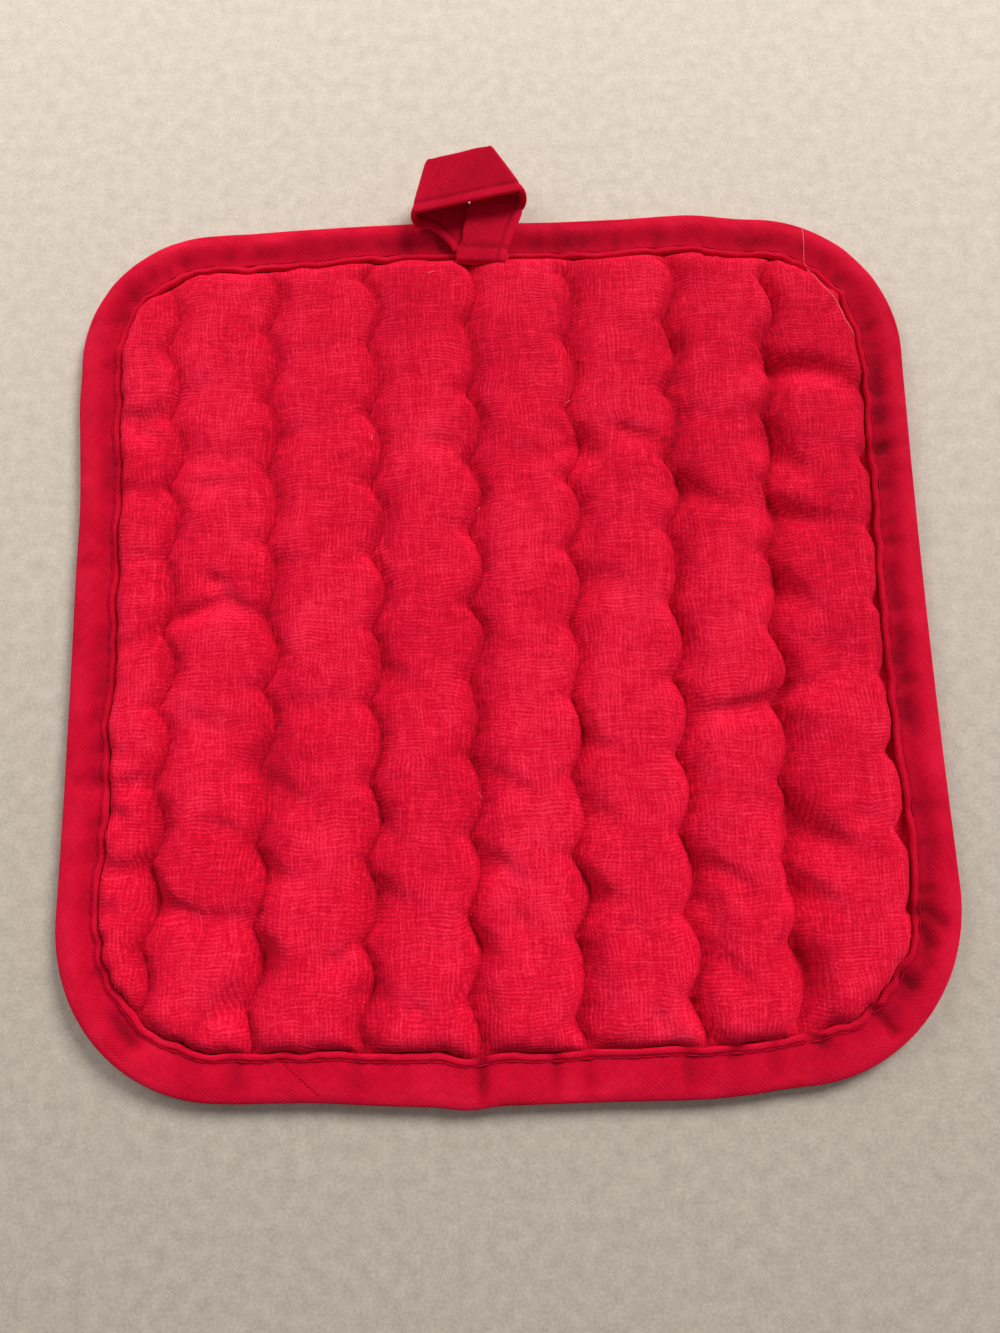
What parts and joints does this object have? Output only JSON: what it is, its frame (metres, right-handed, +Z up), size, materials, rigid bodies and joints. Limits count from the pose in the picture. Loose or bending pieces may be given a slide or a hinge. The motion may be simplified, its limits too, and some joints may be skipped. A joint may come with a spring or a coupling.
{
  "type": "pot holder",
  "caption": "Square quilted cotton pot holder with round corners, wavy stitched channels, a bound edge and a folded hanging loop at its upper edge.",
  "frame": {"origin": "on the flat underside that the pad rests on, below the middle of the pad", "axes": "+X across the stitch rows, to the right with the hanging loop at the far side; +Y along the stitch rows, towards the hanging loop; +Z up, out of the quilted face that shows"},
  "size_m": [0.1978, 0.2218, 0.0134],
  "materials": {
    "quilted_cloth": "plain-woven cotton, matt",
    "binding_tape": "bias-cut cotton tape, matt"
  },
  "bodies": {
    "root": {"quilted_pad": "quilted_cloth", "edge_binding": "binding_tape", "hanging_loop": "binding_tape"}
  },
  "joints": []
}
